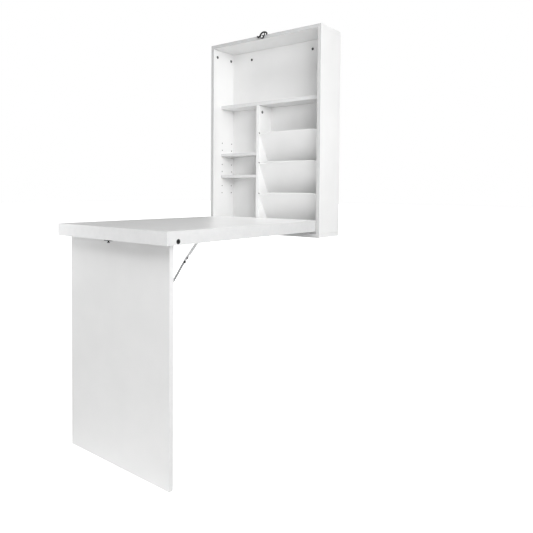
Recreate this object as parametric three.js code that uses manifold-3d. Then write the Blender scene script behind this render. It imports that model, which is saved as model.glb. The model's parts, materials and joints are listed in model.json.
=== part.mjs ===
// Wall-hung secretary desk: a shallow cabinet with shelves and magazine pockets, a desk slab that
// folds down out of its front, and a leg panel that folds out of the slab's hollow underside.
// Units are millimetres. +Z is up, +Y runs into the wall, and X is the width.
// The pieces are drawn with the cabinet's front plane at Y = 0 and the floor that the leg stands on
// at Z = 0. The finished part is then moved so that its origin is the middle of the cabinet's back,
// on the wall.
import * as THREE from "three";
import Module from "manifold-3d";
import { mergeVertices } from "three/addons/utils/BufferGeometryUtils.js";

const wasm = await Module();
wasm.setup();

// ---- Driving dimensions ----
const GAP = 0.3; // between pieces that touch
const BOARD = 15; // carcass board thickness
const HALF_WIDTH = 290;
const CABINET_BOTTOM = 685;
const CABINET_HEIGHT = 820;
const CABINET_DEPTH = 145;
const WALL_POINT_HEIGHT = 1095; // height of the part's origin above the floor

const SHELF_FRONT = 48.5; // front plane of everything inside the cabinet
const UPPER_SHELF_TOP = 1245;
const DIVIDER_LEFT = -68;
const SMALL_SHELF = 12; // thickness of the two adjustable shelves

const HOLE_TOP = 1079; // highest of the shelf-pin holes
const HOLE_PITCH = 32;
const HOLE_ROWS = 8;
const HOLE_COLUMNS = [57, 118]; // Y of the two columns
const HOLE_RADIUS = 2.5;
const HOLE_DEPTH = 8;
const SHELF_ROWS = [2, 5]; // hole rows that carry a shelf
const PIN_RADIUS = 2.35;

const POCKET_TOPS = [1113, 987, 855.5];
const POCKET_LENGTH = 169;
const POCKET_TILT = 27.2 * (Math.PI / 180);
const POCKET_THICKNESS = 4;
const POCKET_END = 30; // the lower stretch of the top edge at each end
const POCKET_SHOULDER = 28; // length over which the top edge drops to it
const POCKET_DROP = 6.5;
const GROOVE_DEPTH = 4.5;

const CAM_RADIUS = 6;
const CAM_DEPTH = 9;
const SIDE_CAMS = [24, 112]; // Y of the connector cams in each side panel
const SIDE_CAM_DROP = 32; // below the underside of the top panel
const DIVIDER_CAM = [70, 1203]; // Y, Z

const WALL_SCREW_X = 165;
const WALL_SCREW_Z = 1454;

const DESK_HALF_WIDTH = 273;
const DESK_FRONT = -731;
const DESK_REAR = 41;
const DESK_TOP = 750;
const DESK_THICKNESS = 40;
const DESK_BOARD = 12;
const RAIL_WIDTH = 25;
const REAR_RAIL_WIDTH = 10;
const DESK_PIVOT = [23, 733]; // Y, Z
const DESK_PIN_RADIUS = 4;
const DESK_PIN_REACH = 9.5; // into the side panel
const RUNNING = 0.08; // radial clearance of a turning fit

const LEG_HALF_WIDTH = 245.5;
const LEG_TOP_ABOVE_PIVOT = 10;
const LEG_PIVOT = [-691.5, 720]; // Y, Z
const LEG_BOLT_RADIUS = 3;
const LEG_BOLT_HEAD = 7.1;

// Folding stays, measured from the leg's pivot.
const STAY_OFFSET = 12.75; // height of the stay's pivots above the folded leg's mid plane
const STAY_ON_DESK = 141.5;
const STAY_ON_LEG = 136.4;
const STAY_SPARE = 0.2; // how much longer the two arms are than the span that they lock
const STAY_TAIL = 16; // how far the upper arm runs on past the middle pivot
const UPPER_ARM_RADIUS = 4.7;
const LOWER_ARM_RADIUS = 3.1;
const ARM_THICKNESS = 2;
const STAY_PIVOT_RADIUS = 2;
const UPPER_ARM_X = [225, 227];
const LOWER_ARM_X = [222.4, 224.4];
const UPPER_EAR_X = [227.4, 228.9];
const LOWER_EAR_X = [220.5, 222.0];
const SHEET = 1.5; // bracket sheet thickness

const LATCH = [4, 1497.5]; // X, Z of the hook's pivot
const CATCH = [-4, -723.7]; // X, Y of the catch's stud on the open desk

// ---- Derived dimensions ----
const CABINET_TOP = CABINET_BOTTOM + CABINET_HEIGHT;
const INSIDE_X = HALF_WIDTH - BOARD;
const FLOOR_TOP = CABINET_BOTTOM + BOARD; // top of the bottom panel
const CEILING = CABINET_TOP - BOARD; // underside of the top panel
const BACK_FRONT = CABINET_DEPTH - BOARD;
const DIVIDER_RIGHT = DIVIDER_LEFT + BOARD;
const DESK_BOTTOM = DESK_TOP - DESK_THICKNESS;
const TRAY_TOP = DESK_TOP - DESK_BOARD; // underside of the desk board
const RAIL_INNER = DESK_HALF_WIDTH - RAIL_WIDTH;

// ---- Materials ----
function material(color, roughness, metalness = 0) {
  return new THREE.MeshStandardMaterial({ color, roughness, metalness });
}

const white = () => material(0xf1f1ef, 0.45);
const steel = () => material(0xb4b6b8, 0.35, 0.9);
const darkSteel = () => material(0x55575a, 0.4, 0.8);
const blackMetal = () => material(0x1c1c1e, 0.45, 0.5);
const nylon = () => material(0xe4e4e0, 0.5);
const zinc = () => material(0xd9dadb, 0.3, 0.85);

// ---- Solids ----
function toManifold(geometry) {
  const bare = geometry.clone();
  bare.deleteAttribute("normal");
  bare.deleteAttribute("uv");
  const merged = mergeVertices(bare, 1e-4);
  return new wasm.Manifold(
    new wasm.Mesh({
      numProp: 3,
      vertProperties: new Float32Array(merged.attributes.position.array),
      triVerts: new Uint32Array(merged.index.array),
    }),
  );
}

function toGeometry(manifold) {
  const mesh = manifold.getMesh();
  const geometry = new THREE.BufferGeometry();
  geometry.setAttribute("position", new THREE.BufferAttribute(mesh.vertProperties, 3));
  geometry.setIndex(new THREE.BufferAttribute(mesh.triVerts, 1));
  geometry.computeVertexNormals();
  return geometry;
}

function join(first, ...others) {
  let solid = toManifold(first);
  for (const other of others) {
    solid = solid.add(toManifold(other));
  }
  return toGeometry(solid);
}

function cut(first, ...tools) {
  let solid = toManifold(first);
  for (const tool of tools) {
    solid = solid.subtract(toManifold(tool));
  }
  return toGeometry(solid);
}

function block(min, max) {
  const geometry = new THREE.BoxGeometry(max[0] - min[0], max[1] - min[1], max[2] - min[2]);
  return geometry.translate(
    (min[0] + max[0]) / 2,
    (min[1] + max[1]) / 2,
    (min[2] + max[2]) / 2,
  );
}

// A round bar between two points.
function rod(radius, from, to, segments = 16) {
  const start = new THREE.Vector3(...from);
  const end = new THREE.Vector3(...to);
  const along = end.clone().sub(start);
  const geometry = new THREE.CylinderGeometry(radius, radius, along.length(), segments);
  const turn = new THREE.Quaternion().setFromUnitVectors(
    new THREE.Vector3(0, 1, 0),
    along.clone().normalize(),
  );
  geometry.applyQuaternion(turn);
  const middle = start.add(end).multiplyScalar(0.5);
  return geometry.translate(middle.x, middle.y, middle.z);
}

// A flat outline drawn in Y and Z, made solid between two X planes.
function plateYZ(shape, xLow, xHigh) {
  const geometry = new THREE.ExtrudeGeometry(shape, {
    depth: xHigh - xLow,
    bevelEnabled: false,
    curveSegments: 10,
  });
  // The extrusion's own x, y, z become Y, Z, X.
  geometry.applyMatrix4(new THREE.Matrix4().set(0, 0, 1, xLow, 1, 0, 0, 0, 0, 1, 0, 0, 0, 0, 0, 1));
  return geometry;
}

// A flat outline drawn in X and Z, made solid between two Y planes.
function plateXZ(shape, yLow, yHigh) {
  const geometry = new THREE.ExtrudeGeometry(shape, {
    depth: yHigh - yLow,
    bevelEnabled: false,
    curveSegments: 12,
  });
  return geometry.rotateX(Math.PI / 2).translate(0, yHigh, 0);
}

// An outline of constant half-width round a run of points, with round ends.
function strokeShape(points, halfWidth, endSteps = 6) {
  const left = [];
  const right = [];
  points.forEach((point, i) => {
    const before = points[Math.max(i - 1, 0)];
    const after = points[Math.min(i + 1, points.length - 1)];
    const along = after.clone().sub(before).normalize();
    const side = new THREE.Vector2(-along.y, along.x).multiplyScalar(halfWidth);
    left.push(point.clone().add(side));
    right.push(point.clone().sub(side));
  });
  const outline = [...right];
  const last = points.length - 1;
  outline.push(...roundEnd(points[last], right[last], endSteps));
  outline.push(...left.reverse());
  outline.push(...roundEnd(points[0], left[last], endSteps));
  return new THREE.Shape(outline);
}

function roundEnd(centre, from, steps) {
  const arm = from.clone().sub(centre);
  const ring = [];
  for (let i = 1; i < steps; i += 1) {
    const turned = arm.clone().rotateAround(new THREE.Vector2(0, 0), (Math.PI * i) / steps);
    ring.push(centre.clone().add(turned));
  }
  return ring;
}

function mirrored(geometry, side) {
  if (side > 0) {
    return geometry;
  }
  const flipped = geometry.index ? geometry.toNonIndexed() : geometry.clone();
  flipped.scale(-1, 1, 1);
  const position = flipped.attributes.position;
  const corner = new THREE.Vector3();
  const other = new THREE.Vector3();
  for (let i = 0; i < position.count; i += 3) {
    corner.fromBufferAttribute(position, i + 1);
    other.fromBufferAttribute(position, i + 2);
    position.setXYZ(i + 1, other.x, other.y, other.z);
    position.setXYZ(i + 2, corner.x, corner.y, corner.z);
  }
  flipped.computeVertexNormals();
  return flipped;
}

// Puts a solid in a group, with the mesh's own origin at the solid's middle.
function place(group, name, geometry, surface) {
  geometry.computeBoundingBox();
  const middle = geometry.boundingBox.getCenter(new THREE.Vector3());
  const mesh = new THREE.Mesh(geometry.translate(-middle.x, -middle.y, -middle.z), surface);
  mesh.name = name;
  mesh.position.copy(middle);
  group.add(mesh);
}

// ---- Cabinet ----
const sideName = (side) => (side > 0 ? "right" : "left");

function shelfHoles(fromX, toX) {
  const tools = [];
  for (let row = 0; row < HOLE_ROWS; row += 1) {
    const z = HOLE_TOP - HOLE_PITCH * row;
    for (const y of HOLE_COLUMNS) {
      tools.push(rod(HOLE_RADIUS, [fromX, y, z], [toX, y, z], 10));
    }
  }
  return tools;
}

// The sloping sheet of one magazine pocket, drawn flat and then tilted into place.
function pocketSheet(top, length, lowX, highX, thickness, drop) {
  const outline = new THREE.Shape();
  outline.moveTo(lowX, -length);
  outline.lineTo(highX, -length);
  outline.lineTo(highX, -drop);
  if (drop > 0) {
    const middle = POCKET_END + POCKET_SHOULDER / 2;
    const shoulder = POCKET_END + POCKET_SHOULDER;
    outline.lineTo(highX - POCKET_END, -drop);
    outline.bezierCurveTo(highX - middle, -drop, highX - middle, 0, highX - shoulder, 0);
    outline.lineTo(lowX + shoulder, 0);
    outline.bezierCurveTo(lowX + middle, 0, lowX + middle, -drop, lowX + POCKET_END, -drop);
    outline.lineTo(lowX, -drop);
  } else {
    outline.lineTo(lowX, 0);
  }
  const sheet = plateXZ(outline, 0, thickness);
  return sheet.rotateX(POCKET_TILT).translate(0, SHELF_FRONT, top);
}

// The groove that takes a pocket's end has a little room all round.
function pocketGrooves(lowX, highX) {
  return POCKET_TOPS.map((top) => {
    const sheet = pocketSheet(top, POCKET_LENGTH + GAP, lowX, highX, POCKET_THICKNESS + 2 * GAP, 0);
    return sheet.translate(0, -GAP * Math.cos(POCKET_TILT), -GAP * Math.sin(POCKET_TILT));
  });
}

function cam(fromX, toX, y, z) {
  const slotDepth = 1.4;
  const slotX = toX > fromX ? [toX - slotDepth, toX + 1] : [toX - 1, toX + slotDepth];
  return cut(
    rod(CAM_RADIUS, [fromX, y, z], [toX, y, z]),
    block([slotX[0], y - 4, z - 0.7], [slotX[1], y + 4, z + 0.7]),
    block([slotX[0], y - 0.7, z - 4], [slotX[1], y + 0.7, z + 4]),
  );
}

function addCarcass(group) {
  const sideLow = FLOOR_TOP + GAP;
  const sideHigh = CEILING - GAP;
  const camZ = CEILING - SIDE_CAM_DROP;
  const [pivotY, pivotZ] = DESK_PIVOT;
  for (const side of [-1, 1]) {
    const inner = side * INSIDE_X;
    const outer = side * HALF_WIDTH;
    const tools = SIDE_CAMS.map((y) =>
      rod(CAM_RADIUS + GAP, [inner - side, y, camZ], [inner + side * (CAM_DEPTH + 1), y, camZ]),
    );
    const pinBore = DESK_PIN_RADIUS + RUNNING;
    tools.push(
      rod(pinBore, [inner - side, pivotY, pivotZ], [inner + side * 10, pivotY, pivotZ], 24),
    );
    if (side < 0) {
      tools.push(...shelfHoles(inner + 1, inner - HOLE_DEPTH));
    } else {
      tools.push(...pocketGrooves(inner - 1, inner + GROOVE_DEPTH));
    }
    const panel = block(
      [Math.min(inner, outer), 0, sideLow],
      [Math.max(inner, outer), CABINET_DEPTH, sideHigh],
    );
    place(group, `side_panel_${sideName(side)}`, cut(panel, ...tools), white());
    SIDE_CAMS.forEach((y, i) => {
      const lock = cam(inner + side * CAM_DEPTH, inner + side * 0.2, y, camZ);
      place(group, `cam_${sideName(side)}_${i === 0 ? "front" : "rear"}`, lock, darkSteel());
    });
  }
  const screwHole = rod(1.9, [LATCH[0], -1, LATCH[1]], [LATCH[0], 20, LATCH[1]], 16);
  const top = block([-HALF_WIDTH, 0, CEILING], [HALF_WIDTH, CABINET_DEPTH, CABINET_TOP]);
  place(group, "top_panel", cut(top, screwHole), white());
  const bottom = block([-HALF_WIDTH, 0, CABINET_BOTTOM], [HALF_WIDTH, CABINET_DEPTH, FLOOR_TOP]);
  place(group, "bottom_panel", bottom, white());
}

function addBack(group) {
  const panel = block(
    [-INSIDE_X + GAP, BACK_FRONT, FLOOR_TOP + GAP],
    [INSIDE_X - GAP, CABINET_DEPTH, CEILING - GAP],
  );
  const holes = [-1, 1].map((side) => {
    const x = side * WALL_SCREW_X;
    return rod(2.8, [x, BACK_FRONT - 1, WALL_SCREW_Z], [x, CABINET_DEPTH + 1, WALL_SCREW_Z], 16);
  });
  place(group, "back_panel", cut(panel, ...holes), white());
  for (const side of [-1, 1]) {
    const x = side * WALL_SCREW_X;
    const headBack = BACK_FRONT - GAP;
    const headFront = headBack - 2.4;
    const screw = cut(
      join(
        rod(5, [x, headBack, WALL_SCREW_Z], [x, headFront, WALL_SCREW_Z], 20),
        rod(2.4, [x, headBack - 1, WALL_SCREW_Z], [x, CABINET_DEPTH, WALL_SCREW_Z], 16),
      ),
      block([x - 3, headFront - 1, WALL_SCREW_Z - 0.5], [x + 3, headFront + 1.2, WALL_SCREW_Z + 0.5]),
      block([x - 0.5, headFront - 1, WALL_SCREW_Z - 3], [x + 0.5, headFront + 1.2, WALL_SCREW_Z + 3]),
    );
    place(group, `wall_screw_${sideName(side)}`, screw, darkSteel());
  }
}

function addInterior(group) {
  const deep = BACK_FRONT - GAP;
  const shelfLow = UPPER_SHELF_TOP - BOARD;
  const shelf = block(
    [-INSIDE_X + GAP, SHELF_FRONT, shelfLow],
    [INSIDE_X - GAP, deep, UPPER_SHELF_TOP],
  );
  place(group, "upper_shelf", shelf, white());
  const [camY, camZ] = DIVIDER_CAM;
  const divider = cut(
    block([DIVIDER_LEFT, SHELF_FRONT, FLOOR_TOP + GAP], [DIVIDER_RIGHT, deep, shelfLow - GAP]),
    rod(
      CAM_RADIUS + GAP,
      [DIVIDER_RIGHT + 1, camY, camZ],
      [DIVIDER_RIGHT - CAM_DEPTH - 1, camY, camZ],
    ),
    ...shelfHoles(DIVIDER_LEFT - 1, DIVIDER_LEFT + HOLE_DEPTH),
    ...pocketGrooves(DIVIDER_RIGHT - GROOVE_DEPTH, DIVIDER_RIGHT + 1),
  );
  place(group, "divider", divider, white());
  place(group, "cam_divider", cam(DIVIDER_RIGHT - CAM_DEPTH, DIVIDER_RIGHT - 0.2, camY, camZ), darkSteel());
}

function addSmallShelves(group) {
  const low = -INSIDE_X + 0.6;
  const high = DIVIDER_LEFT - 0.6;
  const lipRadius = 3;
  const lipLength = 7;
  SHELF_ROWS.forEach((row, i) => {
    const label = i === 0 ? "upper" : "lower";
    const z = HOLE_TOP - HOLE_PITCH * row;
    const bottom = z + lipRadius + GAP;
    const shelf = block([low, SHELF_FRONT, bottom], [high, BACK_FRONT - GAP, bottom + SMALL_SHELF]);
    place(group, `small_shelf_${label}`, shelf, white());
    for (const end of [-1, 1]) {
      const wall = end < 0 ? -INSIDE_X : DIVIDER_LEFT;
      const inward = -end;
      HOLE_COLUMNS.forEach((y, column) => {
        const pin = join(
          rod(PIN_RADIUS, [wall - inward * (HOLE_DEPTH - 0.5), y, z], [wall + inward * 2, y, z], 10),
          rod(lipRadius, [wall + inward * GAP, y, z], [wall + inward * lipLength, y, z], 12),
        );
        const where = `${end < 0 ? "left" : "right"}_${column === 0 ? "front" : "rear"}`;
        place(group, `shelf_pin_${label}_${where}`, pin, nylon());
      });
    }
  });
}

function addPockets(group) {
  const low = DIVIDER_RIGHT - GROOVE_DEPTH + GAP;
  const high = INSIDE_X + GROOVE_DEPTH - GAP;
  const labels = ["upper", "middle", "lower"];
  POCKET_TOPS.forEach((top, i) => {
    const sheet = pocketSheet(top, POCKET_LENGTH, low, high, POCKET_THICKNESS, POCKET_DROP);
    place(group, `pocket_panel_${labels[i]}`, sheet, white());
  });
}

// ---- Hook latch on the front edge of the top panel ----
const HOOK_BACK = -3.2;
const HOOK_FRONT = -6.2;
const HOOK_STROKE = 2.7; // half-width of the casting's arch
const LINK_STROKE = 1.9;
const BOSS_RADIUS = 3;
const HUB_RADIUS = 8;

function addLatchBase(group) {
  const [x, z] = LATCH;
  const base = cut(
    join(
      rod(7, [x, -GAP, z], [x, HOOK_BACK + GAP, z], 24),
      rod(BOSS_RADIUS, [x, -1, z], [x, HOOK_FRONT - 0.4, z], 24),
    ),
    rod(1.9, [x, 1, z], [x, HOOK_FRONT - 2, z], 16),
  );
  place(group, "latch_base", base, blackMetal());
  const headBack = HOOK_FRONT - 0.7;
  const screw = cut(
    join(
      rod(4.6, [x, headBack, z], [x, headBack - 1.6, z], 20),
      rod(1.6, [x, headBack - 1, z], [x, 18, z], 16),
    ),
    block([x - 2.6, headBack - 3, z - 0.45], [x + 2.6, headBack - 0.9, z + 0.45]),
    block([x - 0.45, headBack - 3, z - 2.6], [x + 0.45, headBack - 0.9, z + 2.6]),
  );
  place(group, "latch_screw", screw, zinc());
}

function strokeXZ(points, halfWidth, steps) {
  const bends = points.map(([u, v]) => new THREE.Vector2(u, v));
  const outline = strokeShape(new THREE.SplineCurve(bends).getPoints(steps), halfWidth);
  return plateXZ(outline, HOOK_FRONT, HOOK_BACK);
}

function addLatchHook(group) {
  const [x, z] = LATCH;
  // The arch runs from the thumb end, over the hub, to the open end that takes the stud.
  const arch = strokeXZ(
    [
      [-24.5, 4.6],
      [-20.5, 0.9],
      [-15.5, 1.6],
      [-11, 6],
      [-6, 12.4],
      [2, 16.8],
      [11, 17.6],
      [19, 15.4],
      [24.2, 11.4],
      [24.2, 7.6],
    ],
    HOOK_STROKE,
    30,
  );
  // The link ties the arch to the hub, beside the mouth that takes the stud.
  const link = strokeXZ(
    [
      [10.5, 16.5],
      [12.2, 7.5],
      [7.5, -1],
    ],
    LINK_STROKE,
    8,
  );
  const web = new THREE.Shape([
    new THREE.Vector2(-13, 3.5),
    new THREE.Vector2(-6, -3),
    new THREE.Vector2(-1, 7),
    new THREE.Vector2(-8.5, 10.5),
  ]);
  const hook = join(
    rod(HUB_RADIUS, [0, HOOK_BACK, 0], [0, HOOK_FRONT, 0], 28),
    arch,
    link,
    plateXZ(web, HOOK_FRONT, HOOK_BACK),
    rod(3.8, [-20, HOOK_BACK, 1], [-20, HOOK_FRONT, 1], 20),
  );
  const bored = cut(hook, rod(BOSS_RADIUS + RUNNING, [0, 1, 0], [0, HOOK_FRONT - 2, 0], 24));
  place(group, "latch_hook", bored.translate(x, 0, z), blackMetal());
}

// ---- Desk slab ----
function addDeskBoards(group) {
  const [legY, legZ] = LEG_PIVOT;
  const [pivotY, pivotZ] = DESK_PIVOT;
  const board = block(
    [-DESK_HALF_WIDTH, DESK_FRONT, TRAY_TOP],
    [DESK_HALF_WIDTH, DESK_REAR, DESK_TOP],
  );
  place(group, "desk_board", board, white());
  const railTop = TRAY_TOP - GAP;
  const frontRail = block(
    [-DESK_HALF_WIDTH, DESK_FRONT, DESK_BOTTOM],
    [DESK_HALF_WIDTH, DESK_FRONT + RAIL_WIDTH, railTop],
  );
  place(group, "desk_rail_front", frontRail, white());
  const rearRail = block(
    [-RAIL_INNER + GAP, DESK_REAR - REAR_RAIL_WIDTH, DESK_BOTTOM],
    [RAIL_INNER - GAP, DESK_REAR, railTop],
  );
  place(group, "desk_rail_rear", rearRail, white());
  const sideFront = DESK_FRONT + RAIL_WIDTH + GAP;
  for (const side of [-1, 1]) {
    const outer = side * DESK_HALF_WIDTH;
    const rail = cut(
      block([RAIL_INNER, sideFront, DESK_BOTTOM], [DESK_HALF_WIDTH, DESK_REAR, railTop]),
      rod(LEG_BOLT_RADIUS + GAP, [RAIL_INNER - 1, legY, legZ], [DESK_HALF_WIDTH + 1, legY, legZ], 20),
      rod(LEG_BOLT_HEAD + GAP, [DESK_HALF_WIDTH - 3, legY, legZ], [DESK_HALF_WIDTH + 1, legY, legZ], 28),
      rod(
        DESK_PIN_RADIUS + 0.2,
        [DESK_HALF_WIDTH - 20, pivotY, pivotZ],
        [DESK_HALF_WIDTH + 1, pivotY, pivotZ],
        24,
      ),
    );
    place(group, `desk_rail_${sideName(side)}`, mirrored(rail, side), white());
    const pin = rod(
      DESK_PIN_RADIUS,
      [outer - side * 19, pivotY, pivotZ],
      [side * (INSIDE_X + DESK_PIN_REACH), pivotY, pivotZ],
      24,
    );
    place(group, `desk_pivot_pin_${sideName(side)}`, pin, steel());
    const washer = cut(
      rod(9, [outer + side * GAP, pivotY, pivotZ], [outer + side * 1.7, pivotY, pivotZ], 24),
      rod(DESK_PIN_RADIUS + 0.2, [outer - side, pivotY, pivotZ], [outer + side * 3, pivotY, pivotZ], 24),
    );
    place(group, `desk_washer_${sideName(side)}`, washer, nylon());
  }
}

function addLegBolts(group) {
  const [y, z] = LEG_PIVOT;
  for (const side of [-1, 1]) {
    const headBack = DESK_HALF_WIDTH - 3 + GAP;
    const headFront = headBack + 3.5;
    const bolt = cut(
      join(
        rod(LEG_BOLT_HEAD, [headBack, y, z], [headFront, y, z], 28),
        rod(LEG_BOLT_RADIUS, [headBack + 1, y, z], [LEG_HALF_WIDTH - 28, y, z], 20),
      ),
      rod(2.6, [headFront - 1.6, y, z], [headFront + 1, y, z], 6),
    );
    place(group, `leg_bolt_${sideName(side)}`, mirrored(bolt, side), blackMetal());
    const washer = cut(
      rod(7, [LEG_HALF_WIDTH + GAP, y, z], [RAIL_INNER - GAP, y, z], 20),
      rod(LEG_BOLT_RADIUS + 0.2, [LEG_HALF_WIDTH - 1, y, z], [RAIL_INNER + 1, y, z], 20),
    );
    place(group, `leg_washer_${sideName(side)}`, mirrored(washer, side), nylon());
  }
}

// The keeper strap stands clear of the folded hook, and the stud's head stands in front of it.
function addCatch(group) {
  const [x, y] = CATCH;
  const plateTop = DESK_BOTTOM - GAP;
  const plateLow = plateTop - 2.2;
  const headTop = plateLow - 4.3;
  const strap = join(
    block([x - 18, y - 5.5, plateLow], [x + 18, y + 7, plateTop]),
    rod(2.5, [x, y, plateTop - 0.6], [x, y, headTop - 0.2], 16),
    rod(5, [x, y, headTop], [x, y, headTop - 2.2], 20),
  );
  place(group, "latch_catch", strap, blackMetal());
}

// ---- Folding stays ----
const stayDeskPivot = [LEG_PIVOT[0] + STAY_ON_DESK, LEG_PIVOT[1] + STAY_OFFSET];
const stayLegPivot = [LEG_PIVOT[0] + STAY_OFFSET, LEG_PIVOT[1] - STAY_ON_LEG];
const staySpan = Math.hypot(
  stayDeskPivot[0] - stayLegPivot[0],
  stayDeskPivot[1] - stayLegPivot[1],
);
// The arms reach across the span when open, and lie on one line, side by side, when folded.
const upperArmLength = (staySpan + STAY_SPARE + STAY_ON_LEG - STAY_ON_DESK) / 2;
const lowerArmLength = upperArmLength - (STAY_ON_LEG - STAY_ON_DESK);

// Where two arms of these lengths meet: a little past centre, on the side of the leg's own pivot.
function stayJoint() {
  const [ay, az] = stayDeskPivot;
  const [by, bz] = stayLegPivot;
  const along = (upperArmLength ** 2 - lowerArmLength ** 2 + staySpan ** 2) / (2 * staySpan);
  const off = Math.sqrt(Math.max(upperArmLength ** 2 - along ** 2, 0));
  const uy = (by - ay) / staySpan;
  const uz = (bz - az) / staySpan;
  return [ay + uy * along + uz * off, az + uz * along - uy * off];
}

function armShape(from, to, radius) {
  const points = [new THREE.Vector2(...from), new THREE.Vector2(...to)];
  return strokeShape(points, radius, 8);
}

function pivotRod(radius, point, xLow, xHigh, segments = 16) {
  return rod(radius, [xLow, point[0], point[1]], [xHigh, point[0], point[1]], segments);
}

// An arm between two pivots, which runs on past the second by its tail.
function stayArm(from, to, tail, radius, planes) {
  const bore = STAY_PIVOT_RADIUS + RUNNING;
  const length = Math.hypot(to[0] - from[0], to[1] - from[1]);
  const end = [0, 1].map((axis) => to[axis] + ((to[axis] - from[axis]) * tail) / length);
  return cut(
    plateYZ(armShape(from, end, radius), planes[0], planes[1]),
    pivotRod(bore, from, planes[0] - 1, planes[1] + 1),
    pivotRod(bore, to, planes[0] - 1, planes[1] + 1),
  );
}

function deskBracket() {
  const [y, z] = stayDeskPivot;
  const [earLow, earHigh] = UPPER_EAR_X;
  const plateTop = TRAY_TOP - GAP;
  const ear = new THREE.Shape([
    new THREE.Vector2(y - 13, plateTop),
    new THREE.Vector2(y - 13, plateTop - SHEET),
    new THREE.Vector2(y - 3.8, z - 2),
    new THREE.Vector2(y - 1.6, z - 3.9),
    new THREE.Vector2(y + 1.6, z - 3.9),
    new THREE.Vector2(y + 3.8, z - 2),
    new THREE.Vector2(y + 13, plateTop - SHEET),
    new THREE.Vector2(y + 13, plateTop),
  ]);
  return cut(
    join(
      plateYZ(ear, earLow, earHigh),
      block([earLow + 0.5, y - 13, plateTop - SHEET], [earHigh + 15, y + 13, plateTop]),
    ),
    pivotRod(STAY_PIVOT_RADIUS + 0.15, stayDeskPivot, earLow - 1, earHigh + 1),
    rod(1.8, [earHigh + 8, y - 7, plateTop + 1], [earHigh + 8, y - 7, plateTop - 3], 16),
    rod(1.8, [earHigh + 8, y + 7, plateTop + 1], [earHigh + 8, y + 7, plateTop - 3], 16),
  );
}

function legBracket() {
  const [y, z] = stayLegPivot;
  const [earLow, earHigh] = LOWER_EAR_X;
  const face = LEG_PIVOT[0] + BOARD / 2 + GAP; // just off the leg's rear face
  const ear = new THREE.Shape([
    new THREE.Vector2(face, z - 13),
    new THREE.Vector2(face + SHEET, z - 13),
    new THREE.Vector2(y + 2, z - 3.8),
    new THREE.Vector2(y + 3.9, z - 1.6),
    new THREE.Vector2(y + 3.9, z + 1.6),
    new THREE.Vector2(y + 2, z + 3.8),
    new THREE.Vector2(face + SHEET, z + 13),
    new THREE.Vector2(face, z + 13),
  ]);
  return cut(
    join(
      plateYZ(ear, earLow, earHigh),
      block([earLow - 15, face, z - 13], [earHigh - 0.5, face + SHEET, z + 13]),
    ),
    pivotRod(STAY_PIVOT_RADIUS + 0.15, stayLegPivot, earLow - 1, earHigh + 1),
    rod(1.8, [earLow - 8, face - 1, z - 7], [earLow - 8, face + 3, z - 7], 16),
    rod(1.8, [earLow - 8, face - 1, z + 7], [earLow - 8, face + 3, z + 7], 16),
  );
}

function addStays(deskGroup, legGroup, upperGroups, lowerGroups) {
  const joint = stayJoint();
  for (const side of [-1, 1]) {
    const label = sideName(side);
    const slot = side > 0 ? 1 : 0;
    place(deskGroup, `stay_desk_bracket_${label}`, mirrored(deskBracket(), side), steel());
    place(legGroup, `stay_leg_bracket_${label}`, mirrored(legBracket(), side), steel());
    const upper = stayArm(stayDeskPivot, joint, STAY_TAIL, UPPER_ARM_RADIUS, UPPER_ARM_X);
    place(upperGroups[slot], `stay_upper_arm_${label}`, mirrored(upper, side), steel());
    const lower = stayArm(stayLegPivot, joint, 0, LOWER_ARM_RADIUS, LOWER_ARM_X);
    place(lowerGroups[slot], `stay_lower_arm_${label}`, mirrored(lower, side), steel());
    const deskRivet = join(
      pivotRod(STAY_PIVOT_RADIUS, stayDeskPivot, UPPER_ARM_X[0] + 0.1, UPPER_EAR_X[1] + 0.6),
      pivotRod(3.2, stayDeskPivot, UPPER_EAR_X[1] + GAP, UPPER_EAR_X[1] + 1.4),
    );
    place(deskGroup, `stay_desk_rivet_${label}`, mirrored(deskRivet, side), steel());
    const legRivet = join(
      pivotRod(STAY_PIVOT_RADIUS, stayLegPivot, LOWER_EAR_X[0] - 0.6, LOWER_ARM_X[1] - 0.1),
      pivotRod(3.2, stayLegPivot, LOWER_EAR_X[0] - 1.4, LOWER_EAR_X[0] - GAP),
    );
    place(legGroup, `stay_leg_rivet_${label}`, mirrored(legRivet, side), steel());
    const midRivet = join(
      pivotRod(STAY_PIVOT_RADIUS - 0.1, joint, UPPER_ARM_X[0] + 0.1, UPPER_ARM_X[1] + 0.8),
      pivotRod(3.8, joint, UPPER_ARM_X[1] + GAP, UPPER_ARM_X[1] + 2),
    );
    place(upperGroups[slot], `stay_mid_rivet_${label}`, mirrored(midRivet, side), darkSteel());
  }
}

// ---- Leg panel ----
function addLegPanel(group) {
  const [y, z] = LEG_PIVOT;
  const bores = [-1, 1].map((side) =>
    rod(
      LEG_BOLT_RADIUS + RUNNING,
      [side * (LEG_HALF_WIDTH + 1), y, z],
      [side * (LEG_HALF_WIDTH - 30), y, z],
      20,
    ),
  );
  const panel = block(
    [-LEG_HALF_WIDTH, y - BOARD / 2, 0],
    [LEG_HALF_WIDTH, y + BOARD / 2, z + LEG_TOP_ABOVE_PIVOT],
  );
  place(group, "leg_panel", cut(panel, ...bores), white());
}

// ---- Assembly: each moving group hangs from the one that carries it ----
const desk = new THREE.Group();
const leg = new THREE.Group();
const upperArms = [new THREE.Group(), new THREE.Group()];
const lowerArms = [new THREE.Group(), new THREE.Group()];
const hook = new THREE.Group();
const cabinet = new THREE.Group();

addCarcass(cabinet);
addBack(cabinet);
addInterior(cabinet);
addSmallShelves(cabinet);
addPockets(cabinet);
addLatchBase(cabinet);
addLatchHook(hook);
addDeskBoards(desk);
addLegBolts(desk);
addCatch(desk);
addLegPanel(leg);
addStays(desk, leg, upperArms, lowerArms);

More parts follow.
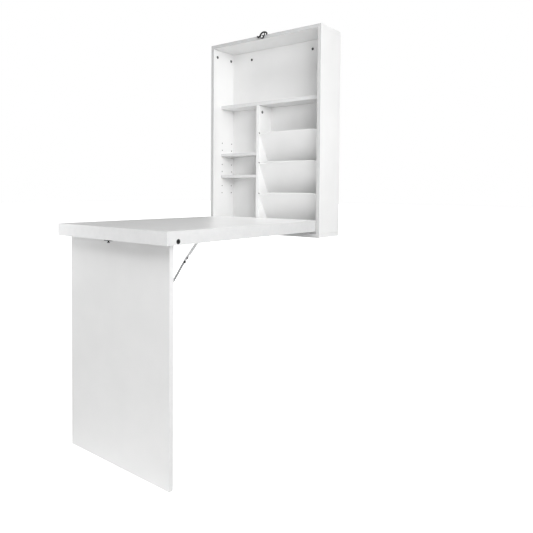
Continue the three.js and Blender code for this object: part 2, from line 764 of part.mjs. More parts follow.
leg.add(...lowerArms);
desk.add(leg, ...upperArms);
cabinet.add(desk, hook);
cabinet.position.set(0, -CABINET_DEPTH, -WALL_POINT_HEIGHT);

const secretaryDesk = new THREE.Group();
secretaryDesk.add(cabinet);

export default secretaryDesk;
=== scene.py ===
"""Wall-hung secretary desk: looks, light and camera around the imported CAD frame. Units are metres."""

import json
import math

import bmesh
import bpy
from mathutils import Matrix, Vector


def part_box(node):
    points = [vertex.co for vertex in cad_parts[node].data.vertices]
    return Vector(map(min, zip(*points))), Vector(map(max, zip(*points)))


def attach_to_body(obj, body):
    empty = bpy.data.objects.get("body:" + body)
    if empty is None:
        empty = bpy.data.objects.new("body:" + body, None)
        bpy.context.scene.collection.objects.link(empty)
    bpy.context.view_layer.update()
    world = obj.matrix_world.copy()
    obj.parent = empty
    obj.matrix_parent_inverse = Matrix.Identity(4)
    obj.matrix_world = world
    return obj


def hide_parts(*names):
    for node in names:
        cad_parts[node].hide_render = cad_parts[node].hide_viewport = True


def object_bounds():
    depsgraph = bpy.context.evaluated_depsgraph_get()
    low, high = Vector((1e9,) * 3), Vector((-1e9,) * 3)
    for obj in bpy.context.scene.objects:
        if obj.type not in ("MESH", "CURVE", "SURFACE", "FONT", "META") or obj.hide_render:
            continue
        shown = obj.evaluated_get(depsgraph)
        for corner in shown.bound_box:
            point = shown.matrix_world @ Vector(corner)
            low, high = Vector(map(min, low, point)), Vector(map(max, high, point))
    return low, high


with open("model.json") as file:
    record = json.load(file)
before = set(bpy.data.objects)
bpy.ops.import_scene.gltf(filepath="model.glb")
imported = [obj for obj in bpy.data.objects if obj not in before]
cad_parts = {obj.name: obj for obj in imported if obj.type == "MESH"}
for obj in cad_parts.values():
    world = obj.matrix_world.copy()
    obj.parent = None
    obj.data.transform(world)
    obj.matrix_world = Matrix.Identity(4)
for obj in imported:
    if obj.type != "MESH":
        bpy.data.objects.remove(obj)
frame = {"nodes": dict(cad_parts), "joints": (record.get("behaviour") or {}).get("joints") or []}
cad_low, cad_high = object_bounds()

MM = 0.001
FLOOR_Z = cad_low.z  # the leg stands on it

# ---- Board construction ----
BAND = 0.8 * MM  # edge band thickness
SEAM = 0.05 * MM  # hairline between a band and its board
BAND_ROUND = 0.28 * MM
CORE_ROUND = 0.2 * MM
HOLE_SIDES = 28

# ---- The cabinet's drilled and grooved details, as the CAD has them ----
HOLE_RADIUS = 2.5 * MM
HOLE_DEPTH = 8 * MM
HOLE_PITCH = 32 * MM
HOLES_ABOVE_UPPER_SHELF = 2
HOLE_ROWS = 8
CAM_HOLE = 6.3 * MM
CAM_DEPTH = 10 * MM
PIN_HOLE = 4.08 * MM
POCKET_TILT = math.radians(27.2)
POCKET_THICKNESS = 4 * MM
GROOVE_DEPTH = 4.5 * MM
GROOVE_ROOM = 0.3 * MM
BOLT_ROOM = 0.15 * MM  # round a sunk bolt head
BOLT_SHANK = 3 * MM
BOLT_HOLE = 3.08 * MM
RIVET_HOLE = 2.08 * MM

# ---- Light ----
LIGHT_SPREAD = 40  # degrees across each light
SUNS = [  # name, azimuth and elevation in degrees, strength
    ("key", 60, 5, 0.38),
    ("top_left", -45, 55, 0.40),
    ("top_right", 45, 55, 0.30),
    ("left", -100, 0, 0.30),
    ("rear", 180, 0, 0.50),
]
PANELS = [  # name, place and target in metres, width, watts
    ("cabinet_key", (1.4, -1.0, 0.30), (0.1, -0.05, 0.0), 0.7, 9.8),
    ("cabinet_fill", (1.0, -1.3, 0.4), (0.1, -0.05, 0.0), 0.7, 3.6),
    ("low_fill", (-0.5, -1.0, -0.2), (0.1, -0.05, 0.0), 0.5, 0.6),
]
SURROUND_FILL = 0.02
GLOSS_TOWARDS = (0.75, -0.65, 0)  # reflections see the surround brighten in this direction
GLOSS_RANGE = (0.0, 0.95)
FLOOR_REACH = 30
FLOOR_GLOW = 0.8
FLOOR_ALBEDO = 0.9

# ---- Camera ----
CAMERA_POINT = Vector((1397.3, -1840.5, -231.9)) * MM
CAMERA_YAW = math.radians(35.76)
CAMERA_PITCH = math.radians(-1.6)
CAMERA_ROLL = math.radians(0.54)
CAMERA_LENS = 35.63
CAMERA_SHIFT = (-0.0538, -0.1130)


def joint_point(name):
    """The point that a joint turns about."""
    return Vector(next(j for j in frame["joints"] if j["name"] == name)["pos_m"])


def middle(node):
    low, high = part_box(node)
    return (low + high) / 2


# =====================================================================================
# Materials
# =====================================================================================


def new_material(name, metallic=0.0, roughness=0.5):
    """A material with object-space coordinates ready for its textures."""
    material = bpy.data.materials.new(name)
    material.use_nodes = True
    shader = material.node_tree.nodes["Principled BSDF"]
    shader.inputs["Metallic"].default_value = metallic
    shader.inputs["Roughness"].default_value = roughness
    return material, material.node_tree, shader


def noise(tree, scale, detail, stretch=(1, 1, 1)):
    """Noise over the object's own coordinates, stretched along the axes."""
    where = tree.nodes.new("ShaderNodeTexCoord")
    mapping = tree.nodes.new("ShaderNodeMapping")
    mapping.inputs["Scale"].default_value = stretch
    texture = tree.nodes.new("ShaderNodeTexNoise")
    texture.inputs["Scale"].default_value = scale
    texture.inputs["Detail"].default_value = detail
    tree.links.new(where.outputs["Object"], mapping.inputs["Vector"])
    tree.links.new(mapping.outputs["Vector"], texture.inputs["Vector"])
    return texture.outputs["Fac"]


def colour_ramp(tree, source, stops):
    """Maps a value to colours; stops are (place, colour)."""
    ramp = tree.nodes.new("ShaderNodeValToRGB")
    elements = ramp.color_ramp.elements
    while len(elements) < len(stops):
        elements.new(0.5)
    for element, (place, colour) in zip(elements, stops):
        element.position = place
        element.color = (*colour, 1)
    tree.links.new(source, ramp.inputs["Fac"])
    return ramp.outputs["Color"]


def value_range(tree, source, low, high):
    """Maps the middle of a noise to low..high."""
    mapped = tree.nodes.new("ShaderNodeMapRange")
    mapped.inputs["From Min"].default_value = 0.3
    mapped.inputs["From Max"].default_value = 0.7
    mapped.inputs["To Min"].default_value = low
    mapped.inputs["To Max"].default_value = high
    tree.links.new(source, mapped.inputs["Value"])
    return mapped.outputs["Result"]


def add_bump(tree, shader, height, strength, distance):
    bump = tree.nodes.new("ShaderNodeBump")
    bump.inputs["Strength"].default_value = strength
    bump.inputs["Distance"].default_value = distance
    tree.links.new(height, bump.inputs["Height"])
    tree.links.new(bump.outputs["Normal"], shader.inputs["Normal"])


def tint(tree, shader, source, dark, light):
    """The base colour runs from dark to light with the source."""
    colour = colour_ramp(tree, source, [(0.3, dark), (0.7, light)])
    tree.links.new(colour, shader.inputs["Base Color"])


def varied(name, tones, cloud, roughness, fine, bump, metallic=0.0, stretch=(1, 1, 1)):
    """A finish whose tone follows one noise, and whose roughness and bump follow a finer one.

    cloud and fine are each a noise's scale and detail; bump is its strength and height.
    """
    material, tree, shader = new_material(name, metallic)
    tint(tree, shader, noise(tree, *cloud), *tones)
    grain = noise(tree, *fine, stretch)
    tree.links.new(value_range(tree, grain, *roughness), shader.inputs["Roughness"])
    add_bump(tree, shader, grain, *bump)
    return material


def edge_band(name, tone):
    """The plastic band on the boards' edges, smoother than the faces; its tone is painted light and
    shade, one grey for each place, darker where shade falls on those edges.
    """
    low = (tone - 0.015, tone - 0.012, tone - 0.01)
    high = (tone + 0.015, tone + 0.017, tone + 0.017)
    bump = (0.10, 0.04 * MM)
    return varied(name, (low, high), (60, 3), (0.30, 0.40), (420, 2), bump, stretch=(1, 1, 0.15))


def chipboard_in_painted_shade():
    """Particle board seen inside drilled holes and grooves, in a very dark tone that paints the shade
    inside them.
    """
    material, tree, shader = new_material("chipboard_core_painted_shade", roughness=0.9)
    flakes = tree.nodes.new("ShaderNodeTexVoronoi")
    flakes.inputs["Scale"].default_value = 700
    where = tree.nodes.new("ShaderNodeTexCoord")
    tree.links.new(where.outputs["Object"], flakes.inputs["Vector"])
    colour = colour_ramp(
        tree,
        flakes.outputs["Distance"],
        [(0.0, (0.07, 0.066, 0.06)), (0.6, (0.17, 0.16, 0.145)), (1.0, (0.24, 0.23, 0.21))],
    )
    tree.links.new(colour, shader.inputs["Base Color"])
    add_bump(tree, shader, flakes.outputs["Distance"], 0.6, 0.3 * MM)
    return material


def metal(name, dark, light, rough_low, rough_high):
    """Plated metal: tone and roughness vary with a fine grain."""
    roughness = (rough_low, rough_high)
    return varied(name, (dark, light), (90, 4), roughness, (500, 3), (0.15, 0.05 * MM), metallic=1.0)


def black_casting():
    """Black lacquered casting with a slight orange peel."""
    tones = ((0.006, 0.006, 0.007), (0.014, 0.014, 0.015))
    bump = (0.25, 0.05 * MM)
    material = varied("black_lacquer", tones, (160, 3), (0.28, 0.42), (1400, 2), bump)
    material.node_tree.nodes["Principled BSDF"].inputs["Specular IOR Level"].default_value = 0.3
    return material


# The faces of the boards have a fine pearl texture, and the pocket sheets a smooth foil.
WHITE = varied(
    "white_melamine", ((0.80, 0.802, 0.80), (0.83, 0.83, 0.828)),
    (9, 4), (0.30, 0.40), (900, 2), (0.12, 0.06 * MM),
)
FOIL = varied(
    "white_foil_sheet", ((0.845, 0.847, 0.845), (0.87, 0.87, 0.868)),
    (14, 4), (0.30, 0.42), (260, 3), (0.10, 0.05 * MM),
)
NICKEL_PAINTED_HIGHLIGHT = varied(  # pale, mostly diffuse nickel tone: a painted highlight, so the latch screw's head reads near white
    "nickel_painted_highlight", ((0.86, 0.86, 0.865), (0.94, 0.94, 0.94)),
    (300, 3), (0.2, 0.3), (1600, 2), (0.1, 0.03 * MM), metallic=0.25,
)
NYLON = varied(
    "natural_nylon", ((0.72, 0.71, 0.67), (0.79, 0.78, 0.75)),
    (200, 2), (0.35, 0.5), (1500, 2), (0.15, 0.04 * MM),
)
# One plastic band in lit and shaded copies: each tone below is painted light and shade for where the band
# sits, darkest on the cabinet's front edges.
SHELF_BAND = edge_band("shelf_edge_band", 0.68)
DIVIDER_BAND = edge_band("divider_edge_band", 0.80)
CARCASS_BAND = edge_band("carcass_edge_band", 0.54)
FRONT_BAND = edge_band("desk_front_band", 0.77)
END_BAND = edge_band("desk_end_band", 0.67)
LEG_BAND = edge_band("leg_edge_band", 0.78)
# The dark core is painted shade for the insides of holes, grooves and sunk bolt heads.
CORE_PAINTED_SHADE = chipboard_in_painted_shade()
STEEL = metal("zinc_plated_steel", (0.50, 0.51, 0.52), (0.64, 0.65, 0.66), 0.28, 0.44)
LIGHT_STEEL = metal("bright_zinc_steel", (0.70, 0.705, 0.71), (0.84, 0.845, 0.85), 0.34, 0.48)
GREY_STEEL = metal("passivated_steel", (0.34, 0.345, 0.35), (0.46, 0.465, 0.47), 0.34, 0.48)
DARK_ZINC = metal("dark_zinc", (0.10, 0.103, 0.106), (0.18, 0.18, 0.187), 0.34, 0.5)
BURNISHED = metal("burnished_steel", (0.035, 0.035, 0.037), (0.07, 0.07, 0.073), 0.35, 0.5)
BRIGHT = metal("bright_zinc", (0.72, 0.73, 0.74), (0.86, 0.86, 0.87), 0.18, 0.3)
BLACK = black_casting()
FACE, EDGE, RAW = 0, 1, 2  # a board's material slots


# =====================================================================================
# Mesh helpers
# =====================================================================================


def make_object(name, bm, materials):
    """A linked object from a bmesh, shaded smooth."""
    mesh = bpy.data.meshes.new(name)
    bmesh.ops.recalc_face_normals(bm, faces=bm.faces)
    bm.to_mesh(mesh)
    bm.free()
    for material in materials:
        mesh.materials.append(material)
    mesh.polygons.foreach_set("use_smooth", [True] * len(mesh.polygons))
    piece = bpy.data.objects.new(name, mesh)
    bpy.context.scene.collection.objects.link(piece)
    return piece


def shade_smooth(piece):
    piece.data.polygons.foreach_set("use_smooth", [True] * len(piece.data.polygons))


def use_only(piece, material):
    piece.data.materials.clear()
    piece.data.materials.append(material)


def ease_edges(piece, width, segments, degrees):
    """A bevel on the edges that turn more than this."""
    bevel = piece.modifiers.new("eased_edges", "BEVEL")
    bevel.width = width
    bevel.segments = segments
    bevel.limit_method = "ANGLE"
    bevel.angle_limit = math.radians(degrees)


def flat_normals(piece):
    """Large faces keep flat shading, and the narrow bevels round between them."""
    weighted = piece.modifiers.new("normals", "WEIGHTED_NORMAL")
    weighted.weight = 100
    weighted.keep_sharp = True


def crease(piece, degrees=38):
    """Edges that turn more than this stay crisp."""
    limit = math.radians(degrees)
    bm = bmesh.new()
    bm.from_mesh(piece.data)
    for edge in bm.edges:
        edge.smooth = len(edge.link_faces) == 2 and edge.calc_face_angle(0) < limit
    bm.to_mesh(piece.data)
    bm.free()


def attach(piece, body, slot, *nodes):
    """A finished piece rides on its body and stands for its CAD nodes; the slot argument is not used."""
    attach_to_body(piece, body)
    if nodes:
        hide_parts(*nodes)
    return piece


def add_box(bm, low, high, rounding, material=FACE, turn=None):
    """A box with rounded edges, as its own closed island."""
    before = set(bm.faces)
    verts = bmesh.ops.create_cube(bm, size=1)["verts"]
    centre = (low + high) / 2
    size = high - low
    for vert in verts:
        vert.co = Vector(c * s for c, s in zip(vert.co, size)) + centre
    if rounding:
        edges = list({edge for vert in verts for edge in vert.link_edges})
        bmesh.ops.bevel(bm, geom=edges, offset=rounding, segments=2, profile=0.5, affect="EDGES")
    made = [face for face in bm.faces if face not in before]
    for face in made:
        face.material_index = material
    if turn is not None:
        bmesh.ops.transform(bm, matrix=turn, verts=list({v for f in made for v in f.verts}))
    return made


def aim(point, direction):
    """A matrix that puts local +Z along direction at point."""
    turn = Vector(direction).to_track_quat("Z", "Y").to_matrix().to_4x4()
    return Matrix.Translation(point) @ turn


def add_lathe(bm, place, profile, sides=32, material=0):
    """A turned solid: profile is (radius, height) from one end of the axis to the other."""
    rings = []
    for radius, height in profile:
        if radius < 1e-7:
            rings.append([bm.verts.new(place @ Vector((0, 0, height)))])
            continue
        ring = []
        for i in range(sides):
            angle = 2 * math.pi * i / sides
            local = Vector((radius * math.cos(angle), radius * math.sin(angle), height))
            ring.append(bm.verts.new(place @ local))
        rings.append(ring)
    for lower, upper in zip(rings, rings[1:]):
        for i in range(sides):
            j = (i + 1) % sides
            corners = []
            for ring, index in ((lower, i), (lower, j), (upper, j), (upper, i)):
                vert = ring[index % len(ring)]
                if vert not in corners:
                    corners.append(vert)
            if len(corners) > 2:
                bm.faces.new(corners).material_index = material


def cylinder_profile(radius, low, high, rounding=0.0):
    """A plain round bar, with its rims eased."""
    if not rounding:
        return [(0, low), (radius, low), (radius, high), (0, high)]
    r = rounding
    return [
        (0, low), (radius - r, low), (radius - 0.3 * r, low + 0.3 * r), (radius, low + r),
        (radius, high - r), (radius - 0.3 * r, high - 0.3 * r), (radius - r, high), (0, high),
    ]


def ring_profile(inner, outer, low, high, rounding):
    """A washer: a closed profile that goes round its own section."""
    r = rounding
    return [
        (inner, low), (outer - r, low), (outer, low + r),
        (outer, high - r), (outer - r, high), (inner, high), (inner, low),
    ]


def add_ring(bm, place, inner, outer, low, high, rounding, sides=32, material=0):
    """A washer as a closed tube."""
    before = set(bm.verts)
    add_lathe(bm, place, ring_profile(inner, outer, low, high, rounding), sides, material)
    made = [v for v in bm.verts if v not in before]
    bmesh.ops.remove_doubles(bm, verts=made, dist=1e-7)


def carve(piece, bm):
    """Cuts the solids in bm out of a piece."""
    cutter = make_object(piece.name + "_cutter", bm, list(piece.data.materials))
    modifier = piece.modifiers.new("cut", "BOOLEAN")
    modifier.operation = "DIFFERENCE"
    modifier.solver = "EXACT"
    modifier.object = cutter
    apply_modifiers(piece)
    bpy.data.objects.remove(cutter)


def apply_modifiers(piece):
    bpy.context.view_layer.update()
    graph = bpy.context.evaluated_depsgraph_get()
    mesh = bpy.data.meshes.new_from_object(piece.evaluated_get(graph))
    piece.modifiers.clear()
    piece.data = mesh


def add_outline(bm, points, place, low, high, material=0):
    """A flat outline (u, v) made solid between two heights of the placing matrix."""
    lower = [bm.verts.new(place @ Vector((u, v, low))) for u, v in points]
    upper = [bm.verts.new(place @ Vector((u, v, high))) for u, v in points]
    faces = [bm.faces.new(list(reversed(lower))), bm.faces.new(upper)]
    for i in range(len(points)):
        j = (i + 1) % len(points)
        faces.append(bm.faces.new((lower[i], lower[j], upper[j], upper[i])))
    for face in faces:
        face.material_index = material
    return faces


def arc(centre, radius, start, end, steps):
    """Points along an arc, angles in degrees."""
    points = []
    for i in range(steps + 1):
        angle = math.radians(start + (end - start) * i / steps)
        points.append((centre[0] + radius * math.cos(angle), centre[1] + radius * math.sin(angle)))
    return points


# =====================================================================================
# Boards
# =====================================================================================

SIDES = {"-x": (0, -1), "+x": (0, 1), "-y": (1, -1), "+y": (1, 1), "-z": (2, -1), "+z": (2, 1)}


def take_band(low, high, side):
    """Splits the box of an edge band off one side of a board's box, and shrinks the board's."""
    axis, sign = SIDES[side]
    band_low, band_high = low.copy(), high.copy()
    if sign < 0:
        band_high[axis] = low[axis] + BAND - SEAM
        low[axis] += BAND
    else:
        band_low[axis] = high[axis] - BAND + SEAM
        high[axis] -= BAND
    return band_low, band_high


def add_board(bm, low, high, banded, ends):
    """A board whose listed sides carry a thin edge band; ends are finished like the faces."""
    low, high = low.copy(), high.copy()
    for side in (*banded, *ends):
        band = take_band(low, high, side)
        add_box(bm, *band, BAND_ROUND, FACE if side in ends else EDGE)
    add_box(bm, low, high, CORE_ROUND, FACE)


def board(node, body, banded, band, cutters=None, ends=()):
    """The visible board for a CAD board; band is the material of its edge bands."""
    low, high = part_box(node)
    bm = bmesh.new()
    add_board(bm, low, high, banded, ends)
    piece = make_object(node + "_board", bm, [WHITE, band, CORE_PAINTED_SHADE])
    if cutters is not None:
        carve(piece, cutters)
    flat_normals(piece)
    return attach(piece, body, "white_board", node)


def add_drill(bm, start, end, radius, sides=HOLE_SIDES):
    """A round cutter from one point to another."""
    length = (end - start).length
    add_lathe(bm, aim(start, end - start), cylinder_profile(radius, 0, length), sides, RAW)


def shelf_pin_rows():
    """Heights of the shelf-pin holes, from the pins of the upper small shelf."""
    top = middle("shelf_pin_upper_left_front").z + HOLES_ABOVE_UPPER_SHELF * HOLE_PITCH
    return [top - HOLE_PITCH * row for row in range(HOLE_ROWS)]


def add_pin_holes(bm, x_face, into):
    """Two columns of shelf-pin holes, drilled from a face; into is -1 or 1 along X."""
    for node in ("shelf_pin_upper_left_front", "shelf_pin_upper_left_rear"):
        y = middle(node).y
        for z in shelf_pin_rows():
            start = Vector((x_face - into * MM, y, z))
            end = Vector((x_face + into * HOLE_DEPTH, y, z))
            add_drill(bm, start, end, HOLE_RADIUS)


def add_cam_hole(bm, node, x_face, into):
    centre = middle(node)
    start = Vector((x_face - into * MM, centre.y, centre.z))
    end = Vector((x_face + into * CAM_DEPTH, centre.y, centre.z))
    add_drill(bm, start, end, CAM_HOLE, 40)


def pocket_place(node):
    """Local axes of a pocket sheet: X is the width, Z runs up the sheet, and Y is its thickness."""
    low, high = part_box(node)
    rise = POCKET_THICKNESS * math.sin(POCKET_TILT)
    corner = Vector((0, low.y, high.z - rise))
    return Matrix.Translation(corner) @ Matrix.Rotation(POCKET_TILT, 4, "X")


def pocket_length(node):
    low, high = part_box(node)
    rise = POCKET_THICKNESS * math.sin(POCKET_TILT)
    return (high.z - low.z - rise) / math.cos(POCKET_TILT)


POCKETS = ("pocket_panel_upper", "pocket_panel_middle", "pocket_panel_lower")


def add_grooves(bm, x_low, x_high):
    """The slanting grooves that hold the pocket sheets' ends."""
    for node in POCKETS:
        low = Vector((x_low, -GROOVE_ROOM, -pocket_length(node) - GROOVE_ROOM))
        high = Vector((x_high, POCKET_THICKNESS + GROOVE_ROOM, 0))
        add_box(bm, low, high, 0, RAW, turn=pocket_place(node))


def side_panel(label, into):
    """One side of the cabinet; into is the direction from its inner face into the board."""
    node = f"side_panel_{label}"
    low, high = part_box(node)
    inner = high.x if into < 0 else low.x
    cutters = bmesh.new()
    add_cam_hole(cutters, f"cam_{label}_front", inner, into)
    add_cam_hole(cutters, f"cam_{label}_rear", inner, into)
    pivot = joint_point("desk_fold")
    start = Vector((inner - into * MM, pivot.y, pivot.z))
    add_drill(cutters, start, start + Vector((into * 11 * MM, 0, 0)), PIN_HOLE, 32)
    if into < 0:
        add_pin_holes(cutters, inner, into)
    else:
        add_grooves(cutters, inner - MM, inner + GROOVE_DEPTH)
    board(node, "cabinet", ["-y"], CARCASS_BAND, cutters)


def build_cabinet():
    side_panel("left", -1)
    side_panel("right", 1)
    board("top_panel", "cabinet", ["-y"], CARCASS_BAND, ends=["-x", "+x"])
    board("bottom_panel", "cabinet", ["-y"], CARCASS_BAND, ends=["-x", "+x"])
    screws = bmesh.new()
    for label in ("left", "right"):
        centre = middle(f"wall_screw_{label}")
        low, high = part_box("back_panel")
        start = Vector((centre.x, low.y - MM, centre.z))
        end = Vector((centre.x, high.y + MM, centre.z))
        add_drill(screws, start, end, 2.8 * MM)
    board("back_panel", "cabinet", [], SHELF_BAND, screws)
    board("upper_shelf", "cabinet", ["-y"], SHELF_BAND)
    cutters = bmesh.new()
    low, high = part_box("divider")
    add_pin_holes(cutters, low.x, 1)
    add_cam_hole(cutters, "cam_divider", high.x, -1)
    add_grooves(cutters, high.x - GROOVE_DEPTH, high.x + MM)
    board("divider", "cabinet", ["-y"], DIVIDER_BAND, cutters)
    for label in ("upper", "lower"):
        board(f"small_shelf_{label}", "cabinet", ["-y"], SHELF_BAND)


def finish_cad_node(node, material, rounding):
    """A CAD node that keeps its shape: a real material and eased edges."""
    piece = frame["nodes"][node]
    use_only(piece, material)
    shade_smooth(piece)
    weld = piece.modifiers.new("weld", "WELD")
    weld.merge_threshold = 0.001 * MM
    ease_edges(piece, rounding, 3, 50)
    flat_normals(piece)


def build_pockets():
    for node in POCKETS:
        finish_cad_node(node, FOIL, 0.8 * MM)


DESK_MATERIALS = [WHITE, FRONT_BAND, CORE_PAINTED_SHADE, END_BAND]
DESK_END = 3
RAIL_INSETS = {  # what the edge band takes off each rail at its low and at its high corner
    "front": (Vector((BAND, BAND, 0)), Vector((BAND, 0, 0))),
    "rear": (Vector((0, 0, 0)), Vector((0, BAND, 0))),
    "left": (Vector((BAND, 0, 0)), Vector((0, BAND, 0))),
    "right": (Vector((0, 0, 0)), Vector((BAND, BAND, 0))),
}


def build_desk_slab():
    """A hollow slab: a thin board on rails, wrapped in one wide edge band."""
    board_low, board_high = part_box("desk_board")
    rail_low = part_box("desk_rail_front")[0].z
    bm = bmesh.new()
    inset = Vector((BAND, BAND, 0))
    add_box(bm, board_low + inset, board_high - inset, CORE_ROUND, FACE)
    top = make_object("desk_board_panel", bm, DESK_MATERIALS)
    flat_normals(top)
    attach(top, "desk", "white_board", "desk_board")

    bands = bmesh.new()
    low = Vector((board_low.x, board_low.y, rail_low))
    high = board_high.copy()
    for side, slot in (("-y", EDGE), ("+y", EDGE), ("-x", DESK_END), ("+x", DESK_END)):
        add_box(bands, *take_band(low, high, side), BAND_ROUND, slot)
    wrap = make_object("desk_edge_band", bands, DESK_MATERIALS)
    holes = bmesh.new()
    add_slab_holes(holes, board_low.x, board_high.x)
    carve(wrap, holes)
    flat_normals(wrap)
    attach(wrap, "desk", "white_board")

    for label in ("front", "rear", "left", "right"):
        node = f"desk_rail_{label}"
        low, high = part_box(node)
        low += RAIL_INSETS[label][0]
        high -= RAIL_INSETS[label][1]
        bm = bmesh.new()
        add_box(bm, low, high, CORE_ROUND, FACE)
        rail = make_object(node + "_board", bm, DESK_MATERIALS)
        if label in ("left", "right"):
            holes = bmesh.new()
            add_slab_holes(holes, board_low.x, board_high.x)
            carve(rail, holes)
        flat_normals(rail)
        attach(rail, "desk", "white_board", node)


def add_slab_holes(bm, x_low, x_high):
    """Cutters for the leg bolts' heads and shanks and for the pivot pins, at both ends."""
    leg = joint_point("leg_fold")
    pivot = joint_point("desk_fold")
    bolt_low, bolt_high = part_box("leg_bolt_right")
    sunk = (bolt_high.z - bolt_low.z) / 2 + BOLT_ROOM
    bore = 3.3 * MM
    for x, into in ((x_low, 1), (x_high, -1)):
        outside = Vector((x - into * MM, 0, 0))
        across = Vector((into, 0, 0))
        head = aim(Vector((outside.x, leg.y, leg.z)), across)
        profile = [(0, 0), (sunk, 0), (sunk, 4 * MM), (bore, 4 * MM), (bore, 28 * MM), (0, 28 * MM)]
        add_lathe(bm, head, profile, 40, RAW)
        pin = Vector((outside.x, pivot.y, pivot.z))
        add_drill(bm, pin, pin + across * 21 * MM, 4.2 * MM, 32)


def build_leg():
    cutters = bmesh.new()
    low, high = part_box("leg_panel")
    pivot = joint_point("leg_fold")
    for x, into in ((low.x, 1), (high.x, -1)):
        start = Vector((x - into * MM, pivot.y, pivot.z))
        add_drill(cutters, start, start + Vector((into * 31 * MM, 0, 0)), BOLT_HOLE)
    board("leg_panel", "leg", ["-x", "+x", "-z", "+z"], LEG_BAND, cutters)


# =====================================================================================
# Fasteners
# =====================================================================================


def cut_cross(piece, place, reach, depth, width):
    """A cross-head recess: two tapering slots that meet on the axis, cut one after the other."""
    outline = [(-reach, 0.5 * MM), (-reach * 0.45, -depth), (reach * 0.45, -depth), (reach, 0.5 * MM)]
    for turn in (0, math.pi / 2):
        upright = place @ Matrix.Rotation(turn, 4, "Z") @ Matrix.Rotation(math.pi / 2, 4, "X")
        slot = bmesh.new()
        add_outline(slot, outline, upright, -width / 2, width / 2)
        carve(piece, slot)


def pan_head(radius, height):
    """Profile of a pan head from its flat underside to its crown."""
    return [
        (0, 0), (radius * 0.94, 0), (radius, 0.12 * height), (radius, 0.38 * height),
        (radius * 0.93, 0.66 * height), (radius * 0.78, 0.86 * height),
        (radius * 0.5, 0.97 * height), (0, height),
    ]


def screw_mesh(radius, height, recess, shank, shank_radius):
    """One cross-head screw in its own frame: the head stands on Z = 0 and the shank goes down."""
    bm = bmesh.new()
    add_lathe(bm, Matrix.Identity(4), pan_head(radius, height), 36)
    head = make_object("screw_head", bm, [])
    cut_cross(head, Matrix.Translation((0, 0, height)), recess, 0.75 * height, 0.24 * recess)
    bm = bmesh.new()
    bm.from_mesh(head.data)
    bpy.data.objects.remove(head)
    add_lathe(bm, Matrix.Identity(4), cylinder_profile(shank_radius, -shank, -0.02 * MM), 20)
    mesh = bpy.data.meshes.new("screw")
    bm.to_mesh(mesh)
    bm.free()
    return mesh


def screws(name, body, slot, material, mesh, places, *nodes):
    """Copies of one screw at each place, as one piece."""
    bm = bmesh.new()
    for place in places:
        before = set(bm.verts)
        bm.from_mesh(mesh)
        made = [v for v in bm.verts if v not in before]
        bmesh.ops.transform(bm, matrix=place, verts=made)
    piece = make_object(name, bm, [material])
    crease(piece, 30)
    return attach(piece, body, slot, *nodes)


def build_cams():
    """Cam connectors: a die-cast disc with a raised rim and a cross slot."""
    for node, into in (
        ("cam_left_front", -1), ("cam_left_rear", -1), ("cam_right_front", 1),
        ("cam_right_rear", 1), ("cam_divider", -1),
    ):
        low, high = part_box(node)
        centre = (low + high) / 2
        radius = (high.z - low.z) / 2
        face_x = high.x if into < 0 else low.x
        depth = high.x - low.x
        place = aim(Vector((face_x, centre.y, centre.z)), (-into, 0, 0))
        bm = bmesh.new()
        add_lathe(
            bm, place,
            [
                (0, -depth), (radius - 0.4 * MM, -depth), (radius, -depth + 0.4 * MM),
                (radius, -0.3 * MM), (radius - 0.3 * MM, 0), (radius - 0.9 * MM, 0),
                (radius - 1.15 * MM, -0.35 * MM), (0, -0.35 * MM),
            ],
            48,
        )
        piece = make_object(node + "_disc", bm, [DARK_ZINC])
        cut_cross(piece, place, 3.6 * MM, 2.2 * MM, 1.1 * MM)
        crease(piece, 30)
        attach(piece, "cabinet", "dark_steel", node)


def build_wall_screws():
    mesh = screw_mesh(5.4 * MM, 2.4 * MM, 3 * MM, 14 * MM, 2.2 * MM)
    for label in ("left", "right"):
        node = f"wall_screw_{label}"
        low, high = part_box(node)
        centre = (low + high) / 2
        place = aim(Vector((centre.x, low.y + 2.4 * MM, centre.z)), (0, -1, 0))
        screws(node + "_head", "cabinet", "dark_steel", BURNISHED, mesh, [place], node)


def build_shelf_pins():
    """Shelf supports: a pin in the hole, a collar, and a spoon that the shelf lies on."""
    for level in ("upper", "lower"):
        for end, inward in (("left", 1), ("right", -1)):
            for place_name in ("front", "rear"):
                node = f"shelf_pin_{level}_{end}_{place_name}"
                low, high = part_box(node)
                centre = (low + high) / 2
                tip = high.x if inward > 0 else low.x
                wall = tip - inward * 7 * MM
                place = aim(Vector((wall, centre.y, centre.z)), (inward, 0, 0))
                bm = bmesh.new()
                add_lathe(bm, place, cylinder_profile(2.35 * MM, -7.5 * MM, 0.25 * MM, 0.5 * MM), 24)
                add_lathe(bm, place, cylinder_profile(3 * MM, 0.3 * MM, 1.5 * MM, 0.25 * MM), 32)
                add_lathe(bm, place, cylinder_profile(2.9 * MM, 1.55 * MM, 7 * MM, 0.6 * MM), 32)
                piece = make_object(node + "_support", bm, [NYLON])
                crease(piece, 45)
                attach(piece, "cabinet", "nylon", node)


